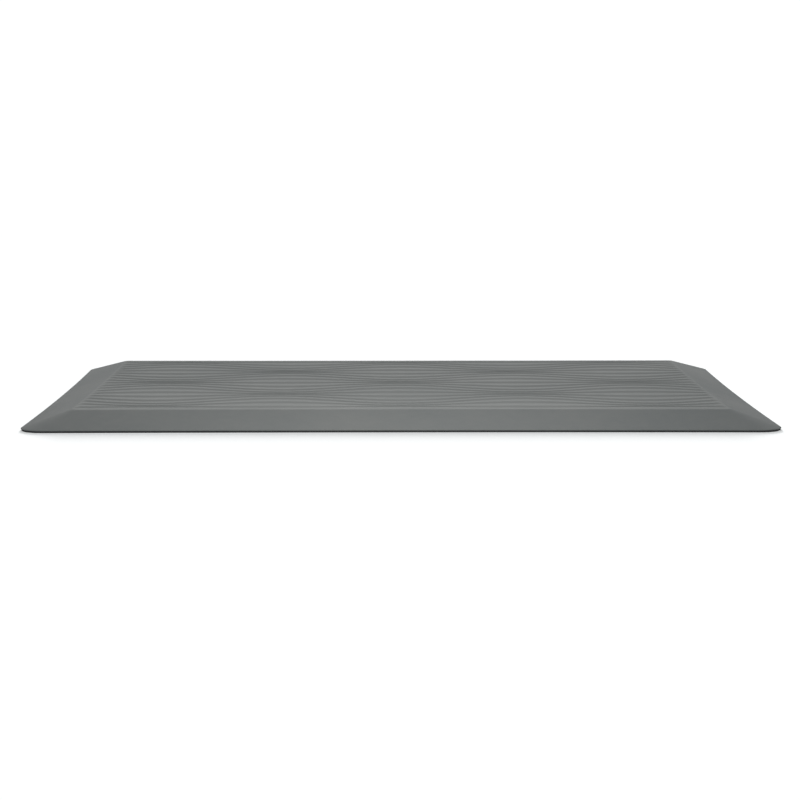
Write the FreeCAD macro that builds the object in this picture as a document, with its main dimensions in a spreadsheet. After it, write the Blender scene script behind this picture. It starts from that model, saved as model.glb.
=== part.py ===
import FreeCAD, Part
import math
import os

import Sketcher
from FreeCAD import Vector

# An anti-fatigue floor mat: a moulded wear skin with a wave-ribbed top and four bevelled
# borders, a foam core inside it and a non-slip base sheet under both.
# X runs along the long side, Y towards the back, Z up, and the origin is the middle of
# the underside. Millimetres.

SIZES = {
    # overall
    "mat_length": 914.4,
    "mat_width": 609.6,
    "body_height": 20.2,  # from the floor to the flat of the top, without the ribs
    "long_side_pull": 4.0,  # how far the middle of a long side stands in from its corners
    "short_side_pull": 4.0,
    # base sheet
    "base_thickness": 2.2,
    "base_inset": 0.5,  # the base stops this far inside the rim of the skin
    "dimple_radius": 11.0,
    "dimple_depth": 0.8,
    "dimple_pitch_x": 60.0,
    "dimple_pitch_y": 56.0,
    "dimple_columns": 14,
    "dimple_rows": 10,
    # wear skin
    "lip_height": 0.8,  # the upright rim below the bevel
    "bevel_run": 55.0,  # how far the bevel reaches in from the rim
    "rim_corner": 28.0,  # plan radius of a corner at the rim
    "top_corner": 6.0,  # plan radius of a corner of the top
    "skin_thickness": 2.0,
    "edge_width": 12.0,  # solid edge of the skin around the core
    # ribs of the top
    "rib_pitch": 25.4,  # the ribs' mean distance
    "rib_height": 2.0,
    "foot_share": 0.5,  # of the local distance, the rib's width where it leaves the top
    "crest_share": 0.2,  # of the local distance, the width of its flat crest
    "rib_end_gap": 3.0,  # from the end of a rib to the bevel
    "wave_length": 310.0,
    "wave_amplitude": 23.0,
    # foam core
    "core_gap": 0.1,  # around the sides of the core
}

RIBS_EACH_SIDE = 9  # ribs in front of the middle one, and as many behind it
RIBS_PER_WAVE = 9  # from one pinch of the ribs to the next, front to back
STEPS_PER_WAVE = 16  # points on a rib's edge along one wave length

START, END, CENTRE = 1, 2, 3  # the points of a sketched arc
X_AXIS, Y_AXIS = -1, -2  # the axes of a sketch


def make_sheet(doc):
    sheet = doc.addObject("Spreadsheet::Sheet", "Sizes")
    for row, (alias, value) in enumerate(SIZES.items(), start=1):
        sheet.set(f"A{row}", alias)
        sheet.set(f"B{row}", str(value))
        sheet.setAlias(f"B{row}", alias)
    doc.recompute()
    return sheet


def make_body(doc, name):
    body = doc.addObject("PartDesign::Body", name)
    body.Label = name
    return body


def make_sketch(body, name, height):
    """A sketch in a level plane of the body, at a height given as an expression."""
    origin = body.Origin.OriginFeatures
    plane = next(feature for feature in origin if feature.Role == "XY_Plane")
    sketch = body.newObject("Sketcher::SketchObject", name)
    sketch.AttachmentSupport = [(plane, "")]
    sketch.MapMode = "FlatFace"
    sketch.setExpression("AttachmentOffset.Base.z", height)
    return sketch


def bind(sketch, name, expression, *constraint):
    """Adds a dimension to the sketch that follows the sheet."""
    index = sketch.addConstraint(Sketcher.Constraint(*constraint))
    sketch.renameConstraint(index, name)
    sketch.setExpression(f"Constraints.{name}", expression)


def add_arc(sketch, centre, radius, start, end):
    circle = Part.Circle(Vector(*centre, 0), Vector(0, 0, 1), radius)
    sketch.addGeometry(Part.ArcOfCircle(circle, math.radians(start), math.radians(end)))


def bow_radius(chord, pull):
    """The radius of a side that stands in by pull over the chord between its corners."""
    return chord * chord / (8 * pull) + pull / 2


def make_outline(body, sheet, name, height, inset, corner):
    """The mat's plan: four sides that curve in a little, and four round corners.

    height, inset and corner are expressions of the sheet. The inset is measured in from
    the rim, and the corner is a radius.
    """
    sketch = make_sketch(body, name, height)
    inset_now = float(sheet.evalExpression(inset.replace("Sizes.", "")))
    corner_now = float(sheet.evalExpression(corner.replace("Sizes.", "")))

    half_x = sheet.mat_length / 2 - inset_now
    half_y = sheet.mat_width / 2 - inset_now
    long_bow = bow_radius(2 * half_x, sheet.long_side_pull)
    short_bow = bow_radius(2 * half_y, sheet.short_side_pull)
    long_centre = half_y - sheet.long_side_pull + long_bow
    short_centre = half_x - sheet.short_side_pull + short_bow

    # A corner's centre stands off both sides by its radius. It's found by repeating.
    corner_x = half_x - corner_now
    corner_y = half_y - corner_now
    for _ in range(20):
        corner_x = short_centre - math.sqrt((short_bow + corner_now) ** 2 - corner_y**2)
        corner_y = long_centre - math.sqrt((long_bow + corner_now) ** 2 - corner_x**2)
    long_lean = math.degrees(math.atan2(corner_x, long_centre - corner_y))
    short_lean = math.degrees(math.atan2(corner_y, short_centre - corner_x))

    for sign, turn in ((1, 0), (-1, 180)):
        add_arc(sketch, (0, sign * long_centre), long_bow,
                turn + 270 - long_lean, turn + 270 + long_lean)
        add_arc(sketch, (sign * short_centre, 0), short_bow,
                turn + 180 - short_lean, turn + 180 + short_lean)
        add_arc(sketch, (sign * corner_x, sign * corner_y), corner_now,
                turn - short_lean, turn + 90 + long_lean)
        add_arc(sketch, (-sign * corner_x, sign * corner_y), corner_now,
                turn + 90 - long_lean, turn + 180 + short_lean)
    back, right, back_right, back_left, front, left, front_left, front_right = range(8)

    joins = (
        (back, END, back_right, END),
        (back_right, START, right, START),
        (right, END, front_right, END),
        (front_right, START, front, START),
        (front, END, front_left, END),
        (front_left, START, left, START),
        (left, END, back_left, END),
        (back_left, START, back, START),
    )
    for join in joins:
        sketch.addConstraint(Sketcher.Constraint("Tangent", *join))
    for one, other in ((back_right, back_left), (back_right, front_left),
                       (back_right, front_right), (back, front), (right, left)):
        sketch.addConstraint(Sketcher.Constraint("Equal", one, other))
    for side, axis in ((back, Y_AXIS), (front, Y_AXIS), (right, X_AXIS), (left, X_AXIS)):
        sketch.addConstraint(Sketcher.Constraint("PointOnObject", side, CENTRE, axis))

    chord_x = f"(Sizes.mat_length - 2 * ({inset}))"
    chord_y = f"(Sizes.mat_width - 2 * ({inset}))"
    pull_x, pull_y = "Sizes.long_side_pull", "Sizes.short_side_pull"
    long_radius = f"({chord_x} ^ 2 / (8 * {pull_x}) + {pull_x} / 2)"
    short_radius = f"({chord_y} ^ 2 / (8 * {pull_y}) + {pull_y} / 2)"
    off_y = f"{chord_y} / 2 - {pull_x} + {long_radius}"
    off_x = f"{chord_x} / 2 - {pull_y} + {short_radius}"
    bind(sketch, "corner_radius", corner, "Radius", back_right, corner_now)
    bind(sketch, "long_radius", long_radius, "Radius", back, long_bow)
    bind(sketch, "short_radius", short_radius, "Radius", right, short_bow)
    bind(sketch, "back_off", off_y, "DistanceY", X_AXIS, 1, back, CENTRE, long_centre)
    bind(sketch, "front_off", off_y, "DistanceY", front, CENTRE, X_AXIS, 1, long_centre)
    bind(sketch, "right_off", off_x, "DistanceX", X_AXIS, 1, right, CENTRE, short_centre)
    bind(sketch, "left_off", off_x, "DistanceX", left, CENTRE, X_AXIS, 1, short_centre)
    return sketch


def make_loft(body, kind, name, lower, upper):
    """A ruled loft between two outlines, added to the body or taken from it."""
    loft = body.newObject(f"PartDesign::{kind}", name)
    loft.Profile = lower
    loft.Sections = [upper]
    loft.Ruled = True
    for outline in (lower, upper):
        outline.Visibility = False
    return loft


def make_shell(doc, sheet):
    """The skin without its ribs: an upright lip, four bevels, a flat top, open below."""
    body = make_body(doc, "skin_shell")
    rim = make_outline(body, sheet, "rim", "Sizes.base_thickness",
                       "0 * Sizes.bevel_run", "Sizes.rim_corner")
    lip = body.newObject("PartDesign::Pad", "lip")
    lip.Profile = rim
    lip.setExpression("Length", "Sizes.lip_height")

    foot = make_outline(body, sheet, "bevel_foot", "Sizes.base_thickness + Sizes.lip_height",
                        "0 * Sizes.bevel_run", "Sizes.rim_corner")
    top = make_outline(body, sheet, "bevel_top", "Sizes.body_height",
                       "Sizes.bevel_run", "Sizes.top_corner")
    make_loft(body, "AdditiveLoft", "bevels", foot, top)
    doc.recompute()

    low = make_outline(body, sheet, "hollow_foot", "Sizes.base_thickness",
                       "Sizes.edge_width", "Sizes.rim_corner - Sizes.edge_width")
    high = make_outline(body, sheet, "hollow_top", "Sizes.body_height - Sizes.skin_thickness",
                        "Sizes.bevel_run + Sizes.skin_thickness", "Sizes.top_corner")
    make_loft(body, "SubtractiveLoft", "hollow", low, high)
    doc.recompute()
    return body


def rib_edge(sheet, number, height, half_length):
    """A smooth curve at a height, along the wave that has the number.

    Whole numbers are the middles of the ribs, and others lie in proportion between them,
    so a rib is wide where the waves spread and narrow where they pinch.
    """
    steps = round(2 * half_length / sheet.wave_length * STEPS_PER_WAVE)
    swing = sheet.wave_amplitude * math.sin(2 * math.pi * number / RIBS_PER_WAVE)
    points = []
    for step in range(steps + 1):
        x = -half_length + 2 * half_length * step / steps
        y = number * sheet.rib_pitch - swing * math.cos(2 * math.pi * x / sheet.wave_length)
        points.append(Vector(x, y, height))
    curve = Part.BSplineCurve()
    curve.interpolate(points)
    return curve.toShape()


def rib_outline(sheet, number, share, height, half_length):
    front = rib_edge(sheet, number - share / 2, height, half_length)
    back = rib_edge(sheet, number + share / 2, height, half_length)
    left, right = (
        Part.makeLine(front.Vertexes[i].Point, back.Vertexes[i].Point) for i in (0, 1)
    )
    return Part.Wire([front, right, back, left])


def make_ribs(doc, sheet):
    """The ribs, each a strip with sloping flanks that follows the wave of its row."""
    half_length = (
        sheet.mat_length / 2 - sheet.bevel_run - sheet.short_side_pull - sheet.rib_end_gap
    )
    # The foot starts inside the skin, so that rib and skin join over an area.
    sink = sheet.skin_thickness / 2
    spread = (sheet.foot_share - sheet.crest_share) / sheet.rib_height
    foot_share = sheet.foot_share + spread * sink
    solids = []
    for number in range(-RIBS_EACH_SIDE, RIBS_EACH_SIDE + 1):
        foot = rib_outline(
            sheet, number, foot_share, sheet.body_height - sink, half_length + sink
        )
        crest = rib_outline(
            sheet, number, sheet.crest_share, sheet.body_height + sheet.rib_height,
            half_length - sheet.rib_height,
        )
        solids.append(Part.makeLoft([foot, crest], True, True))
    ribs = doc.addObject("Part::Feature", "ribs")
    ribs.Shape = Part.makeCompound(solids)
    return ribs


def make_top_skin(doc, sheet):
    shell = make_shell(doc, sheet)
    ribs = make_ribs(doc, sheet)
    skin = doc.addObject("Part::MultiFuse", "top_skin")
    skin.Shapes = [shell, ribs]
    skin.Label = "top_skin"
    doc.recompute()
    return skin


def make_core(doc, sheet):
    """The foam: it fills the hollow of the skin and lies on the base."""
    body = make_body(doc, "comfort_core")
    gap = "Sizes.core_gap"
    low = make_outline(body, sheet, "core_foot", "Sizes.base_thickness",
                       f"Sizes.edge_width + {gap}", "Sizes.rim_corner - Sizes.edge_width")
    high = make_outline(body, sheet, "core_top", "Sizes.body_height - Sizes.skin_thickness",
                        f"Sizes.bevel_run + Sizes.skin_thickness + {gap}", "Sizes.top_corner")
    make_loft(body, "AdditiveLoft", "foam", low, high)
    doc.recompute()
    return body


def make_base(doc, sheet):
    """The base sheet, with rows of shallow round dimples in its underside."""
    body = make_body(doc, "base_sheet")
    plan = make_outline(body, sheet, "base_plan", "0 * Sizes.base_thickness",
                        "Sizes.base_inset", "Sizes.rim_corner - Sizes.base_inset")
    slab = body.newObject("PartDesign::Pad", "slab")
    slab.Profile = plan
    slab.setExpression("Length", "Sizes.base_thickness")
    doc.recompute()

    first_x = -sheet.dimple_pitch_x * (sheet.dimple_columns - 1) / 2
    first_y = -sheet.dimple_pitch_y * (sheet.dimple_rows - 1) / 2
    ring = make_sketch(body, "dimple_ring", "0 * Sizes.base_thickness")
    circle = Part.Circle(Vector(first_x, first_y, 0), Vector(0, 0, 1), sheet.dimple_radius)
    ring.addGeometry(circle)
    bind(ring, "radius", "Sizes.dimple_radius", "Radius", 0, sheet.dimple_radius)
    bind(ring, "first_x", "Sizes.dimple_pitch_x * (Sizes.dimple_columns - 1) / 2",
         "DistanceX", 0, CENTRE, X_AXIS, 1, -first_x)
    bind(ring, "first_y", "Sizes.dimple_pitch_y * (Sizes.dimple_rows - 1) / 2",
         "DistanceY", 0, CENTRE, X_AXIS, 1, -first_y)
    dimple = body.newObject("PartDesign::Pocket", "dimple")
    dimple.Profile = ring
    dimple.Reversed = True  # up, into the slab
    dimple.setExpression("Length", "Sizes.dimple_depth")
    ring.Visibility = False
    doc.recompute()

    grid = body.newObject("PartDesign::MultiTransform", "dimple_grid")
    grid.Originals = [dimple]
    steps = []
    for name, axis, count, pitch in (
        ("along", "X_Axis", "dimple_columns", "dimple_pitch_x"),
        ("across", "Y_Axis", "dimple_rows", "dimple_pitch_y"),
    ):
        step = body.newObject("PartDesign::LinearPattern", name)
        lines = body.Origin.OriginFeatures
        step.Direction = (next(line for line in lines if line.Role == axis), [""])
        step.setExpression("Occurrences", f"Sizes.{count}")
        step.setExpression("Length", f"Sizes.{pitch} * (Sizes.{count} - 1)")
        steps.append(step)
    grid.Transformations = steps
    body.Tip = grid
    doc.recompute()
    return body


def check(doc):
    """Stops if any object of the document failed or has no sound shape."""
    for item in doc.Objects:
        if "Invalid" in item.State or "Error" in item.State:
            raise RuntimeError(f"{item.Label}: {item.State}")
        # A pattern inside a MultiTransform only carries directions, not a shape.
        if item.TypeId == "PartDesign::LinearPattern" or not hasattr(item, "Shape"):
            continue
        if item.Shape.isNull() or not item.Shape.isValid():
            raise RuntimeError(f"{item.Label} has no sound shape")


def main():
    doc = FreeCAD.newDocument("anti_fatigue_mat")
    sheet = make_sheet(doc)
    nodes = [make_top_skin(doc, sheet), make_core(doc, sheet), make_base(doc, sheet)]
    doc.recompute()
    check(doc)

    os.makedirs("parts", exist_ok=True)
    for node in nodes:
        box = node.Shape.BoundBox
        print(f"{node.Label}: {len(node.Shape.Solids)} solid, {node.Shape.Volume:.0f} mm3, "
              f"{box.XLength:.2f} x {box.YLength:.2f} x {box.ZLength:.2f} mm")
        node.Shape.exportStep(f"parts/{node.Label}.step")


main()
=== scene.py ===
import math

import bmesh
import bpy
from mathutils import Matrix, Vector, noise


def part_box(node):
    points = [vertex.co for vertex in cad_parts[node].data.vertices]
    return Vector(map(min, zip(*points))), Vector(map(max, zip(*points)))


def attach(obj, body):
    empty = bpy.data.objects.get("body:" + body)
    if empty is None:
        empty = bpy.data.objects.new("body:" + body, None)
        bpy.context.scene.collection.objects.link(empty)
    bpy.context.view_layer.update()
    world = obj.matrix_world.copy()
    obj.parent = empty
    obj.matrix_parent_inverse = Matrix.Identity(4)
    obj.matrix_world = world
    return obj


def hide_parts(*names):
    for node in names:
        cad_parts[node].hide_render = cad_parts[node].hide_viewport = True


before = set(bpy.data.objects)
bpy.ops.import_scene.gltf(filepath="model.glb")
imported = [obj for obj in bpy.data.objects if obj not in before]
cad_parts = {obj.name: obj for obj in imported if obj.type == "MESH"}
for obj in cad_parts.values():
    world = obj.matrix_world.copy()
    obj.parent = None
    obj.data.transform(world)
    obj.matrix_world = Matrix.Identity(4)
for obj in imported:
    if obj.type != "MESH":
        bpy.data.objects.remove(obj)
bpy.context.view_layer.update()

mm = 0.001
scene = bpy.context.scene
skinLow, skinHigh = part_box("top_skin")
coreLow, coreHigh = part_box("comfort_core")
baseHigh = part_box("base_sheet")[1]
# the share of its radius that a round corner's middle loses on each axis
cornerLoss = 1 - math.cos(math.pi / 4)
# from the CAD skin's box out to the corners of the plan
planMargin = 0.5 * mm

# the plan that every layer shares: half sizes at the rim, and how far the middle of
# each side stands in from its corners
plan = {
    "halfX": skinHigh.x + planMargin,
    "halfY": skinHigh.y + planMargin,
    "longSidePull": 4.0 * mm,
    "shortSidePull": 4.0 * mm,
}


def smooth(share):
    return share * share * (3 - 2 * share)


def cornerPoint(halfX, halfY, radius, share, meetX):
    # a point on a round corner's half that runs from its middle to where x is meetX
    centreX, centreY = halfX - radius, halfY - radius
    eighth = radius * math.pi / 4
    if meetX > centreX:
        whole = radius * (math.acos((meetX - centreX) / radius) - math.pi / 4)
    else:
        whole = eighth + centreX - meetX
    travel = whole * share
    if travel > eighth:
        return centreX - (travel - eighth), halfY
    angle = math.pi / 4 + travel / radius
    return centreX + radius * math.cos(angle), centreY + radius * math.sin(angle)


def pulledIn(x, y):
    # the plan's sides curve in a little between the corners
    alongX = min(abs(x) / plan["halfX"], 1.0)
    alongY = min(abs(y) / plan["halfY"], 1.0)
    newX = x * (1 - plan["shortSidePull"] / plan["halfX"] * (1 - alongY ** 2))
    newY = y * (1 - plan["longSidePull"] / plan["halfY"] * (1 - alongX ** 2))
    return newX, newY


def extrudeLoop(bm, loop, place):
    # draws the open loop out once, with each new point where place says
    made = bmesh.ops.extrude_edge_only(bm, edges=loop)["geom"]
    edges = [item for item in made if isinstance(item, bmesh.types.BMEdge)]
    for vert in {vert for edge in edges for vert in edge.verts}:
        vert.co = place(vert)
    return [edge for edge in edges if edge.is_boundary]


def newPiece(name, bm, nodes, material):
    bmesh.ops.recalc_face_normals(bm, faces=bm.faces)
    mesh = bpy.data.meshes.new(name)
    bm.to_mesh(mesh)
    bm.free()
    mesh.shade_smooth()
    piece = bpy.data.objects.new(name, mesh)
    scene.collection.objects.link(piece)
    mesh.materials.append(material)
    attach(piece, "root")
    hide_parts(*nodes)
    return piece


def newMaterial(name, **constants):
    material = bpy.data.materials.new(name)
    material.use_nodes = True
    shader = material.node_tree.nodes["Principled BSDF"]
    for socket, value in constants.items():
        shader.inputs[socket.replace("_", " ")].default_value = value
    return material, shader


def connect(tree, node, links):
    # each input gets a link from another node's output, or a plain value
    for socket, source in links.items():
        if hasattr(source, "is_output"):
            tree.links.new(source, node.inputs[socket])
        else:
            node.inputs[socket].default_value = source


def addNode(tree, kind, links=None, **settings):
    node = tree.nodes.new(kind)
    for key, value in settings.items():
        setattr(node, key, value)
    connect(tree, node, links or {})
    return node


# shader groups that the three finishes share

def newGroup(name, inputs, outputs):
    group = bpy.data.node_groups.new(name, "ShaderNodeTree")
    for label, kind, start in inputs:
        made = group.interface.new_socket(name=label, in_out="INPUT", socket_type=kind)
        if start is not None:
            made.default_value = start
    for label, kind in outputs:
        group.interface.new_socket(name=label, in_out="OUTPUT", socket_type=kind)
    return group, group.nodes.new("NodeGroupInput"), group.nodes.new("NodeGroupOutput")


def grainGroup():
    # moulded grain: soft pebbles with finer pores on them, as one height
    group, given, out = newGroup(
        "mouldedGrain",
        [("Vector", "NodeSocketVector", None), ("Pebbles", "NodeSocketFloat", 900.0),
         ("Pores", "NodeSocketFloat", 2600.0), ("Pore Share", "NodeSocketFloat", 0.3)],
        [("Height", "NodeSocketFloat")])
    pebbles = addNode(group, "ShaderNodeTexVoronoi", {
        "Vector": given.outputs["Vector"], "Scale": given.outputs["Pebbles"]},
        feature="SMOOTH_F1")
    connect(group, pebbles, {"Smoothness": 0.6})
    pores = addNode(group, "ShaderNodeTexNoise", {
        "Vector": given.outputs["Vector"], "Scale": given.outputs["Pores"], "Detail": 2.0})
    blend = addNode(group, "ShaderNodeMix", {
        "Factor": given.outputs["Pore Share"], "A": pebbles.outputs["Distance"],
        "B": pores.outputs["Fac"]}, data_type="FLOAT")
    group.links.new(blend.outputs["Result"], out.inputs["Height"])
    return group


def mottleGroup():
    # broad clouding with a finer layer, centred on a half
    group, given, out = newGroup(
        "softMottle",
        [("Vector", "NodeSocketVector", None), ("Broad", "NodeSocketFloat", 5.0),
         ("Fine", "NodeSocketFloat", 60.0), ("Fine Share", "NodeSocketFloat", 0.35)],
        [("Mask", "NodeSocketFloat")])
    broad = addNode(group, "ShaderNodeTexNoise", {
        "Vector": given.outputs["Vector"], "Scale": given.outputs["Broad"], "Detail": 3.0})
    fine = addNode(group, "ShaderNodeTexNoise", {
        "Vector": given.outputs["Vector"], "Scale": given.outputs["Fine"], "Detail": 4.0})
    blend = addNode(group, "ShaderNodeMix", {
        "Factor": given.outputs["Fine Share"], "A": broad.outputs["Fac"],
        "B": fine.outputs["Fac"]}, data_type="FLOAT")
    group.links.new(blend.outputs["Result"], out.inputs["Mask"])
    return group


grain = grainGroup()
mottle = mottleGroup()


def placeGroup(tree, group, links):
    return addNode(tree, "ShaderNodeGroup", links, node_tree=group)


def mixColour(tree, factor, first, second):
    # the Mix node has sockets of every kind, and 6, 7 and 2 are its colour ones
    node = addNode(tree, "ShaderNodeMix", {"Factor": factor}, data_type="RGBA")
    connect(tree, node, {6: first, 7: second})
    return node.outputs[2]


def mixClouds(tree, place, look):
    return placeGroup(tree, mottle, {
        "Vector": place, "Broad": look["cloudsBroad"], "Fine": look["cloudsFine"],
        "Fine Share": look["cloudsFineShare"]}).outputs["Mask"]


def addGrain(tree, place, shader, look):
    height = placeGroup(tree, grain, {
        "Vector": place, "Pebbles": look["pebbles"], "Pores": look["pores"],
        "Pore Share": look["poreShare"]})
    bump = addNode(tree, "ShaderNodeBump", {
        "Height": height.outputs["Height"], "Strength": look["grainStrength"],
        "Distance": look["grainDepth"]})
    tree.links.new(bump.outputs["Normal"], shader.inputs["Normal"])


# camera

cameraFit = {
    "lens": 87.53,
    "sensor": 36.0,
    "place": (-18.2 * mm, -2585.7 * mm, 361.1 * mm),
    "down": 0.14005,  # radians below level
    "right": 0.0071,  # radians towards +X
    "reach": 100.0,
}
cameraData = bpy.data.cameras.new("camera")
cameraData.lens = cameraFit["lens"]
cameraData.sensor_width = cameraFit["sensor"]
cameraData.clip_end = cameraFit["reach"]
camera = bpy.data.objects.new("camera", cameraData)
camera.location = cameraFit["place"]
camera.rotation_euler = (math.pi / 2 - cameraFit["down"], 0.0, -cameraFit["right"])
scene.collection.objects.link(camera)
scene.camera = camera
print("camera placed")


# top skin

skin = {
    "columns": 220,  # across the flat of the top
    "rowsPerRib": 16,
    "ribsEachSide": 9,
    "ribsPerWave": 9,
    "ribPitch": 25.4 * mm,
    "ribHeight": 2.1 * mm,
    "crestShare": 0.03,  # of the local distance, from a rib's middle to where it falls
    "footShare": 0.31,  # and to where it meets the valley
    "pinchHeight": 0.35,  # a rib's height where the waves pinch, as a share
    "fullSpacing": 1.6,  # local distance, in rib pitches, where a rib has its full height
    "waveLength": 310.0 * mm,
    "waveSwing": 23.0 * mm,
    "endFade": 3.0 * mm,  # over which a rib sinks into the side edge of the top
    "edgeGap": 1.5 * mm,  # between the outer ribs and the front and back edges
    "bevelRun": 55.0 * mm,
    "bevelFoot": 3.0 * mm,  # height of the lip's top above the floor
    "top": 20.2 * mm,
    "rimRadius": 28.0 * mm,
    "topRadius": 6.0 * mm,
    "thickness": 2.0 * mm,
    "footInset": 2.0 * mm,
    "edgeWidth": 12.0 * mm,
    "unevenness": 0.12 * mm,
    "unevenScale": 9.0,
    "unevenSlice": 4.7,
    "unevenFade": 10.0 * mm,  # from the rim, over which the unevenness comes in
    # (inset, height above the skin's foot) of the lip's rounded side
    "lipRings": ((0.35 * mm, 0.0), (0.05 * mm, 0.2 * mm), (0.0, 0.5 * mm),
                 (0.3 * mm, 0.78 * mm)),
    "lipEase": (1.1 * mm, 0.03 * mm),  # inset, and how far it lies under the bevel's line
    "bevelInsets": (3, 7, 13, 20, 28, 36, 42, 47, 51, 53.3),  # mm
    "edgeEase": (0.5 * mm, 0.22 * mm),  # short of the bevel's end, and below the top
    "edgeRounding": 1.2 * mm,  # from the bevel's end to the flat of the top
    "shade": (0.154, 0.160, 0.157, 1.0),
    "coolShade": (0.140, 0.149, 0.149, 1.0),
    # painted light: a lighter shade on the tread than on the bevels
    "paintedLitTreadShade": (0.175, 0.182, 0.178, 1.0),
    # painted highlight: a lighter shade on the ribs' tops
    "crestHighlightShade": (0.197, 0.204, 0.200, 1.0),
    "paintedLitTreadShare": 0.6,
    "crestHighlightShare": 0.5,
    "crestHighlightFrom": 0.4,  # of a rib's height, where the painted highlight starts
    "gloss": (0.8, 0.9),  # range of the roughness
    "cloudsBroad": 4.0,
    "cloudsFine": 70.0,
    "cloudsFineShare": 0.3,
    "pebbles": 900.0,
    "pores": 2600.0,
    "poreShare": 0.35,
    "grainStrength": 0.12,
    "grainDepth": 0.3 * mm,
}

# rings of the lip and the bevel, from the rim up: (inset, height)
bevelRise = (skin["top"] - skin["bevelFoot"]) / skin["bevelRun"]
rings = [(inset, skinLow.z + height) for inset, height in skin["lipRings"]]
easeInset, easeDrop = skin["lipEase"]
rings.append((easeInset, skin["bevelFoot"] + bevelRise * easeInset - easeDrop))
for inset in skin["bevelInsets"]:
    rings.append((inset * mm, skin["bevelFoot"] + bevelRise * inset * mm))
easeInset, easeDrop = skin["edgeEase"]
rings.append((skin["bevelRun"] - easeInset, skin["top"] - easeDrop))
ringCount = len(rings)
topInset = skin["bevelRun"] + skin["edgeRounding"]


def ringRadius(inset):
    share = min(inset / skin["bevelRun"], 1.0)
    return skin["rimRadius"] + (skin["topRadius"] - skin["rimRadius"]) * share


topHalfX = plan["halfX"] - topInset
topHalfY = plan["halfY"] - topInset
# the flat's corner, at the middle of its rounding
meetX = topHalfX - skin["topRadius"] * cornerLoss
meetY = topHalfY - skin["topRadius"] * cornerLoss

# the number of each row of the flat; its first and last rows lie along its edges
lastNumber = skin["ribsEachSide"] + 0.5
rowTotal = round(2 * lastNumber * skin["rowsPerRib"])
rowNumbers = [-lastNumber + 2 * lastNumber * row / rowTotal for row in range(rowTotal + 1)]
rowNumbers = [-lastNumber] + rowNumbers + [lastNumber]


def topEdgeY(x):
    # the front or back edge of the flat, at this x
    start = topHalfX - skin["topRadius"]
    if abs(x) < start:
        return topHalfY
    across = min(abs(x) - start, skin["topRadius"])
    return topHalfY - skin["topRadius"] + math.sqrt(skin["topRadius"] ** 2 - across ** 2)


def waveSpacing(x, number):
    # the local distance between two ribs
    turn = 2 * math.pi * number / skin["ribsPerWave"]
    spread = skin["waveSwing"] * 2 * math.pi / (skin["ribsPerWave"] * skin["ribPitch"])
    along = math.cos(2 * math.pi * x / skin["waveLength"])
    return skin["ribPitch"] * (1 - spread * math.cos(turn) * along)


def waveY(x, number):
    # the line that has the number, with whole numbers on the ribs
    last = skin["ribsEachSide"]
    size = abs(number)
    if size > last:
        room = topEdgeY(x) - last * skin["ribPitch"] - skin["edgeGap"]
        half = min(waveSpacing(x, last) / 2, room)
        y = last * skin["ribPitch"] + (size - last) * 2 * half
    else:
        turn = 2 * math.pi * size / skin["ribsPerWave"]
        along = math.cos(2 * math.pi * x / skin["waveLength"])
        y = size * skin["ribPitch"] - skin["waveSwing"] * math.sin(turn) * along
    return math.copysign(y, number)


def ribRise(x, number):
    # a rounded rib with a broad valley beside it, lower where the waves pinch
    off = abs(number - round(number))
    if abs(number) >= lastNumber or off >= skin["footShare"]:
        return 0.0
    fall = max(off - skin["crestShare"], 0.0) / (skin["footShare"] - skin["crestShare"])
    wide = min(waveSpacing(x, number) / (skin["fullSpacing"] * skin["ribPitch"]), 1.0)
    low = skin["pinchHeight"]
    return skin["ribHeight"] * (1 - smooth(fall)) * (low + (1 - low) * wide)


def unevenZ(x, y, share):
    scale = skin["unevenScale"]
    spot = Vector((x * scale, y * scale, skin["unevenSlice"]))
    return share * skin["unevenness"] * noise.noise(spot)


def roundedSide(across, straight, radius):
    # how far out a rounded corner's side lies, across past where its straight part ends
    beyond = max(across - straight, 0.0)
    return math.sqrt(max(radius ** 2 - beyond ** 2, 0.0))


def placeSkin(columns, rows, i, j, ring):
    # where the grid's point goes; ring is None on the flat of the top
    left = min(i, columns - i)
    front = min(j, rows - j)
    signX = 1 if i > columns / 2 else -1
    signY = 1 if j > rows / 2 else -1
    ringIndex = min(left, front, ringCount)
    columnX = abs((i - columns / 2) / (columns / 2 - ringCount)) * meetX
    number = rowNumbers[min(max(j - ringCount, 0), len(rowNumbers) - 1)]
    if ring is None and ringIndex == ringCount:
        fullX = signX * columnX
        if front == ringCount:
            y = topEdgeY(columnX)
        else:
            y = abs(waveY(fullX, number))
        # the outermost column stays on the flat's rounded side
        if left == ringCount and front > ringCount:
            radius = skin["topRadius"]
            y = min(y, meetY)
            columnX = topHalfX - radius + roundedSide(y, topHalfY - radius, radius)
        return signX * columnX, signY * y
    inset = ring[0] if ring else rings[ringIndex][0]
    halfX, halfY = plan["halfX"] - inset, plan["halfY"] - inset
    radius = ring[2] if ring else ringRadius(inset)
    if left < ringCount and front < ringCount:
        share = (max(left, front) - min(left, front)) / (ringCount - min(left, front))
        if front <= left:
            x, y = cornerPoint(halfX, halfY, radius, share, meetX)
        else:
            y, x = cornerPoint(halfY, halfX, radius, share, meetY)
    elif front < ringCount:
        x = min(columnX, halfX - radius * cornerLoss)
        y = halfY - radius + roundedSide(x, halfX - radius, radius)
    else:
        y = abs(waveY(meetX, number)) if front > ringCount else meetY
        y = min(y, halfY - radius * cornerLoss)
        x = halfX - radius + roundedSide(y, halfY - radius, radius)
    return signX * x, signY * y


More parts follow.
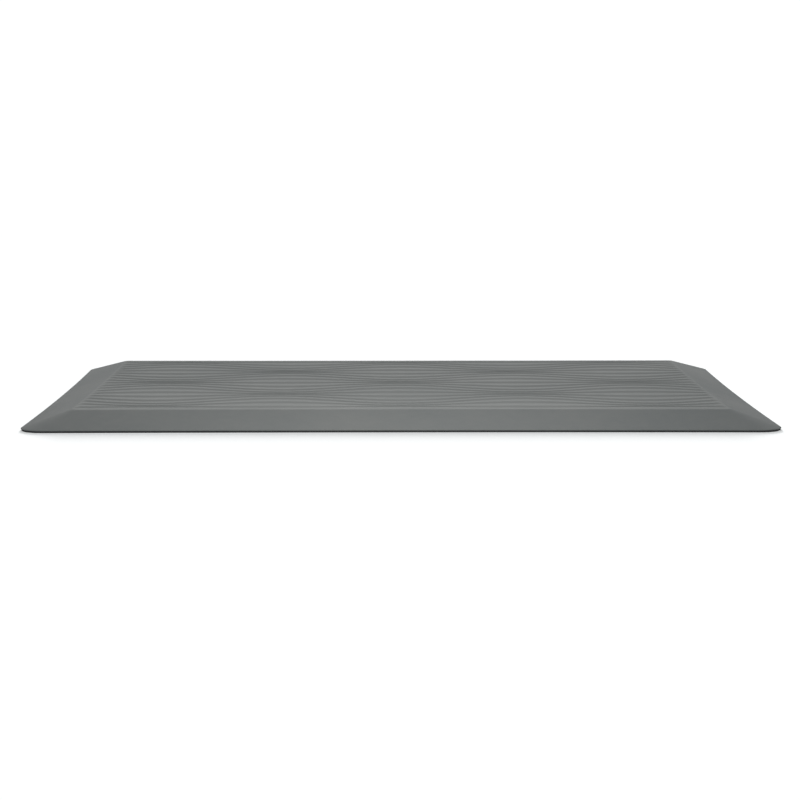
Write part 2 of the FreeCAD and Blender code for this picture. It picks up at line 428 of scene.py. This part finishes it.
def buildSkin(material):
    columns = skin["columns"] + 2 * ringCount
    rows = len(rowNumbers) - 1 + 2 * ringCount
    bm = bmesh.new()
    bmesh.ops.create_grid(bm, x_segments=columns, y_segments=rows, size=1.0)
    gridI = bm.verts.layers.int.new("gridI")
    gridJ = bm.verts.layers.int.new("gridJ")
    crest = bm.verts.layers.float.new("crest")
    tread = bm.verts.layers.float.new("tread")
    for vert in bm.verts:
        vert[gridI] = round((vert.co.x + 1) / 2 * columns)
        vert[gridJ] = round((vert.co.y + 1) / 2 * rows)
    for vert in bm.verts:
        i, j = vert[gridI], vert[gridJ]
        x, y = placeSkin(columns, rows, i, j, None)
        ringIndex = min(i, j, columns - i, rows - j, ringCount)
        if ringIndex < ringCount:
            inset, z = rings[ringIndex]
            z += unevenZ(x, y, min(inset / skin["unevenFade"], 1.0))
        else:
            number = rowNumbers[j - ringCount]
            fade = min(max((meetX - abs(x)) / skin["endFade"], 0.0), 1.0)
            rise = ribRise(x, number) * smooth(fade)
            if j - ringCount in (0, len(rowNumbers) - 1):
                rise = 0.0
            vert[crest] = rise / skin["ribHeight"]
            vert[tread] = 1.0
            z = skin["top"] + rise + unevenZ(x, y, 1.0)
        vert.co = (*pulledIn(x, y), z)

    # (inset, height, corner radius) under the rim: a solid edge, then the foam's hollow
    hollow = [
        (inset, skinLow.z, skin["rimRadius"] - inset)
        for inset in (skin["footInset"], skin["edgeWidth"])
    ] + [
        (skin["bevelRun"] + skin["thickness"], skin["top"] - skin["thickness"],
         skin["topRadius"]),
    ]
    loop = [edge for edge in bm.edges if edge.is_boundary]
    for ring in hollow:
        def onRing(vert):
            x, y = placeSkin(columns, rows, vert[gridI], vert[gridJ], ring)
            return (*pulledIn(x, y), ring[1])
        loop = extrudeLoop(bm, loop, onRing)
    bmesh.ops.edgeloop_fill(bm, edges=loop)
    return newPiece("topSkin", bm, ["top_skin"], material)


def skinFinish():
    material, shader = newMaterial("mouldedSkin", Roughness=0.85, Specular_IOR_Level=0.2)
    tree = material.node_tree
    place = addNode(tree, "ShaderNodeTexCoord").outputs["Object"]
    clouds = mixClouds(tree, place, skin)
    spread = addNode(tree, "ShaderNodeMapRange", {
        "Value": clouds, "From Min": 0.35, "From Max": 0.65}).outputs["Result"]
    plain = mixColour(tree, spread, skin["shade"], skin["coolShade"])
    # painted light: the tread is painted a little lighter than the bevels, and its ribs'
    # tops carry a painted highlight
    tread = addNode(tree, "ShaderNodeAttribute", attribute_name="tread")
    paintedLitTreadMask = addNode(tree, "ShaderNodeMapRange", {
        "Value": tread.outputs["Fac"], "To Max": skin["paintedLitTreadShare"]}).outputs["Result"]
    paintedLitTread = mixColour(tree, paintedLitTreadMask, plain, skin["paintedLitTreadShade"])
    crest = addNode(tree, "ShaderNodeAttribute", attribute_name="crest")
    crestHighlightMask = addNode(tree, "ShaderNodeMapRange", {
        "Value": crest.outputs["Fac"], "From Min": skin["crestHighlightFrom"], "From Max": 1.0,
        "To Max": skin["crestHighlightShare"]}).outputs["Result"]
    highlighted = mixColour(tree, crestHighlightMask, paintedLitTread, skin["crestHighlightShade"])
    gloss = addNode(tree, "ShaderNodeMapRange", {
        "Value": clouds, "From Min": 0.3, "From Max": 0.7,
        "To Min": skin["gloss"][0], "To Max": skin["gloss"][1]}).outputs["Result"]
    connect(tree, shader, {"Base Color": highlighted, "Roughness": gloss})
    addGrain(tree, place, shader, skin)
    return material


topSkin = buildSkin(skinFinish())
print("top skin modelled:", len(topSkin.data.polygons), "faces")


# foam core

core = {
    "edgeWidth": 12.5 * mm,
    "rimRadius": 16.0 * mm,
    "topInset": 57.5 * mm,
    "rounding": 1.5 * mm,
    "shade": (0.10, 0.102, 0.105, 1.0),
    "paleShade": (0.15, 0.152, 0.155, 1.0),
    "cloudsBroad": 9.0,
    "cloudsFine": 220.0,
    "cloudsFineShare": 0.5,
    "pebbles": 420.0,
    "pores": 1400.0,
    "poreShare": 0.5,
    "grainStrength": 0.5,
    "grainDepth": 0.8 * mm,
}


def cloudedFinish(name, roughness, look):
    # two shades that cloud into each other, under a grain
    material, shader = newMaterial(name, Roughness=roughness)
    tree = material.node_tree
    place = addNode(tree, "ShaderNodeTexCoord").outputs["Object"]
    colour = mixColour(tree, mixClouds(tree, place, look), look["shade"], look["paleShade"])
    tree.links.new(colour, shader.inputs["Base Color"])
    addGrain(tree, place, shader, look)
    return material


def edgeClimb(edge):
    return abs(edge.verts[0].co.z - edge.verts[1].co.z)


def buildCore(material):
    bm = bmesh.new()
    bmesh.ops.create_cube(bm, size=2.0)
    halfX, halfY = coreHigh.x, coreHigh.y
    slope = core["topInset"] - core["edgeWidth"]
    for vert in bm.verts:
        inset = slope if vert.co.z > 0 else 0.0
        vert.co.x = math.copysign(halfX - inset, vert.co.x)
        vert.co.y = math.copysign(halfY - inset, vert.co.y)
        vert.co.z = coreHigh.z if vert.co.z > 0 else coreLow.z
    upright = [edge for edge in bm.edges if edgeClimb(edge) > mm]
    bmesh.ops.bevel(bm, geom=upright, offset=core["rimRadius"], offset_type="OFFSET",
                    segments=6, profile=0.5, affect="EDGES", material=-1)
    level = [edge for edge in bm.edges if edgeClimb(edge) < 0.001 * mm]
    bmesh.ops.bevel(bm, geom=level, offset=core["rounding"], offset_type="OFFSET",
                    segments=2, profile=0.5, affect="EDGES", material=-1)
    for vert in bm.verts:
        vert.co.x, vert.co.y = pulledIn(vert.co.x, vert.co.y)
    piece = newPiece("comfortCore", bm, ["comfort_core"], material)
    return piece


comfortCore = buildCore(cloudedFinish("closedCellFoam", 0.9, core))
print("foam core modelled")


# base sheet

base = {
    "inset": 0.6 * mm,
    "dimpleRadius": 11.0 * mm,
    "dimpleDepth": 0.8 * mm,
    "dimpleRound": 0.5 * mm,
    "pitchX": 60.0 * mm,
    "pitchY": 56.0 * mm,
    "columns": 14,
    "rows": 10,
    "sides": 16,
    "weld": 0.05 * mm,
    "rimRadius": 27.5 * mm,
    "leastRadius": 8.0 * mm,
    "footRounding": (1.1 * mm, 0.25 * mm),  # where it starts, and where it's upright
    "topRounding": 0.2 * mm,
    "topWidth": 14.0 * mm,  # how far the top runs in before it's closed flat
    # near-black: the rubber's own dark colour, and painted shade too, for the dark line that
    # its edge draws under the lip
    "shade": (0.018, 0.019, 0.020, 1.0),
    "paleShade": (0.030, 0.031, 0.033, 1.0),
    "cloudsBroad": 7.0,
    "cloudsFine": 120.0,
    "cloudsFineShare": 0.4,
    "pebbles": 700.0,
    "pores": 2200.0,
    "poreShare": 0.3,
    "grainStrength": 0.35,
    "grainDepth": 0.4 * mm,
}


def gripCell(bm):
    # one cell of the grip: a square with a round dimple pressed into it
    made = bmesh.ops.create_circle(bm, segments=base["sides"], cap_ends=True,
                                   radius=base["dimpleRadius"])
    bmesh.ops.translate(bm, verts=made["verts"], vec=(0, 0, base["dimpleDepth"]))
    rim = bm.edges[:]
    for grow, drop in ((0.0, 0.35), (base["dimpleRound"], 1.0)):
        def onDimple(vert):
            away = Vector((vert.co.x, vert.co.y, 0)).normalized()
            flat = away * (base["dimpleRadius"] + grow)
            return (flat.x, flat.y, base["dimpleDepth"] * (1 - drop))
        rim = extrudeLoop(bm, rim, onDimple)

    def onSquare(vert):
        angle = math.atan2(vert.co.y, vert.co.x)
        reach = 1 / max(abs(math.cos(angle)), abs(math.sin(angle)))
        x, y = math.cos(angle) * reach, math.sin(angle) * reach
        return (x * base["pitchX"] / 2, y * base["pitchY"] / 2, 0)
    extrudeLoop(bm, rim, onSquare)
    return bm.verts[:] + bm.edges[:] + bm.faces[:]


def buildBase(material):
    bm = bmesh.new()
    cell = gripCell(bm)
    firstX = -(base["columns"] - 1) / 2 * base["pitchX"]
    firstY = -(base["rows"] - 1) / 2 * base["pitchY"]
    bmesh.ops.translate(bm, verts=bm.verts, vec=(firstX, firstY, 0))
    for column in range(base["columns"]):
        for row in range(base["rows"]):
            if column == 0 and row == 0:
                continue
            copy = bmesh.ops.duplicate(bm, geom=cell)["geom"]
            verts = [item for item in copy if isinstance(item, bmesh.types.BMVert)]
            bmesh.ops.translate(bm, verts=verts,
                                vec=(column * base["pitchX"], row * base["pitchY"], 0))
    bmesh.ops.remove_doubles(bm, verts=bm.verts, dist=base["weld"])

    # (further inset, height) from the grip's edge out to the rim, up the side and back
    # over the top
    fieldX = base["columns"] * base["pitchX"] / 2
    fieldY = base["rows"] * base["pitchY"] / 2
    top = baseHigh.z
    footStart, footEnd = base["footRounding"]
    steps = (
        (footStart, 0.0), (footEnd, 0.0), (0.0, footEnd), (0.0, top - base["topRounding"]),
        (base["topRounding"], top), (base["topWidth"], top),
    )
    loop = [edge for edge in bm.edges if edge.is_boundary]
    source = bm.verts.layers.float_vector.new("source")
    for edge in loop:
        for vert in edge.verts:
            vert[source] = vert.co
    for extra, z in steps:
        inset = base["inset"] + extra
        halfX, halfY = plan["halfX"] - inset, plan["halfY"] - inset
        radius = max(base["rimRadius"] - extra, base["leastRadius"])

        def onRim(vert):
            x = vert[source].x / fieldX * halfX
            y = vert[source].y / fieldY * halfY
            # pull the point in where it's beyond the round corner
            overX = abs(x) - (halfX - radius)
            overY = abs(y) - (halfY - radius)
            if overX > 0 and overY > 0:
                length = math.hypot(overX, overY)
                x = math.copysign(halfX - radius + overX / length * radius, x)
                y = math.copysign(halfY - radius + overY / length * radius, y)
            return (*pulledIn(x, y), z)
        loop = extrudeLoop(bm, loop, onRim)
    bmesh.ops.edgeloop_fill(bm, edges=loop)
    return newPiece("baseSheet", bm, ["base_sheet"], material)


baseSheet = buildBase(cloudedFinish("gripRubberAndFootShade", 0.75, base))
print("base sheet modelled:", len(baseSheet.data.polygons), "faces")


# floor and light

studio = {
    "floorHalf": 4.0,
    "floorShade": 0.85,
    "floorGlow": 0.31,  # the floor is a lit table, white to its edge
    "backdrop": 1.1,
    "skyTint": (0.96, 1.0, 1.01, 1.0),
    "ceiling": 0.55,
    "ceilingEdge": (0.49, 0.61),  # heights are sines of the elevation
    "frontWall": 0.35,
    "wallFoot": (0.05, 0.15),
    "wallTop": (0.55, 0.65),
    "wallSide": (-0.2, -0.7),
}


def buildFloor():
    bm = bmesh.new()
    bmesh.ops.create_grid(bm, x_segments=8, y_segments=8, size=studio["floorHalf"])
    mesh = bpy.data.meshes.new("floor")
    bm.to_mesh(mesh)
    bm.free()
    floor = bpy.data.objects.new("floor", mesh)
    scene.collection.objects.link(floor)
    shade = studio["floorShade"]
    material, shader = newMaterial("floorPaint", Roughness=0.9, Specular_IOR_Level=0.0,
                                   Base_Color=(shade, shade, shade, 1.0),
                                   Emission_Color=(1.0, 1.0, 1.0, 1.0),
                                   Emission_Strength=studio["floorGlow"])
    mesh.materials.append(material)
    return floor


def buildSky():
    # a soft ceiling and a dim wall in front of the mat, with a white backdrop behind all
    world = bpy.data.worlds.new("studio")
    world.use_nodes = True
    tree = world.node_tree
    back = tree.nodes["Background"]
    back.inputs["Color"].default_value = studio["skyTint"]
    way = addNode(tree, "ShaderNodeTexCoord").outputs["Generated"]
    parts = addNode(tree, "ShaderNodeSeparateXYZ", {"Vector": way})

    def band(axis, limits, low, high):
        node = addNode(tree, "ShaderNodeMapRange", {
            "Value": parts.outputs[axis], "From Min": limits[0], "From Max": limits[1],
            "To Min": low, "To Max": high}, interpolation_type="SMOOTHSTEP")
        return node.outputs["Result"]

    def combine(operation, first, second):
        node = addNode(tree, "ShaderNodeMath", {0: first, 1: second}, operation=operation)
        return node.outputs["Value"]

    ceiling = band("Z", studio["ceilingEdge"], 0.0, studio["ceiling"])
    wall = combine("MULTIPLY", band("Z", studio["wallFoot"], 0.0, 1.0),
                   band("Z", studio["wallTop"], 1.0, 0.0))
    wall = combine("MULTIPLY", wall, band("Y", studio["wallSide"], 0.0, studio["frontWall"]))
    light = combine("ADD", ceiling, wall)
    seen = addNode(tree, "ShaderNodeLightPath").outputs["Is Camera Ray"]
    strength = addNode(tree, "ShaderNodeMix", {
        "Factor": seen, "A": light, "B": studio["backdrop"]}, data_type="FLOAT")
    tree.links.new(strength.outputs["Result"], back.inputs["Strength"])
    scene.world = world


lights = {
    # high behind the mat, along its ribs' flanks, and close in front of its middle
    "highBack": {"place": (0.0, 2.6, 1.3), "target": (0.0, 0.0, 0.0), "size": (4.0, 1.0),
                 "power": 80.0, "colour": (1.0, 0.995, 0.985)},
    "nearFill": {"place": (0.0, -0.62, 0.38), "target": (0.0, -0.2, 0.0), "size": (0.4, 0.2),
                 "power": 2.0, "colour": (1.0, 0.98, 0.96)},
}
floorSun = {
    "place": (0.0, 3.0, 1.0),
    "elevation": math.radians(12.5),
    "spread": math.radians(11),
    "power": 6.2,
}


def placeLight(name, data, place, aim, receivers):
    # the light falls on its receivers alone, and every piece still casts a shadow in it
    light = bpy.data.objects.new(name, data)
    light.location = place
    light.rotation_euler = Vector(aim).to_track_quat("-Z", "Y").to_euler()
    light.visible_camera = False
    lit = bpy.data.collections.new(name + "Lit")
    for piece in receivers:
        lit.objects.link(piece)
    light.light_linking.receiver_collection = lit
    scene.collection.objects.link(light)


def buildLights(floor, pieces):
    for name, values in lights.items():
        data = bpy.data.lights.new(name, "AREA")
        data.shape = "RECTANGLE"
        data.size, data.size_y = values["size"]
        data.energy = values["power"]
        data.color = values["colour"]
        aim = Vector(values["target"]) - Vector(values["place"])
        placeLight(name, data, values["place"], aim, pieces)
    # a low, wide sun from behind lays the mat's soft shadow on the floor in front
    data = bpy.data.lights.new("floorSun", "SUN")
    data.energy = floorSun["power"]
    data.angle = floorSun["spread"]
    aim = (0.0, -math.cos(floorSun["elevation"]), -math.sin(floorSun["elevation"]))
    placeLight("floorSun", data, floorSun["place"], aim, [floor])


buildSky()
buildLights(buildFloor(), [topSkin, comfortCore, baseSheet])
scene.view_settings.view_transform = "Standard"
print("floor and lights set")
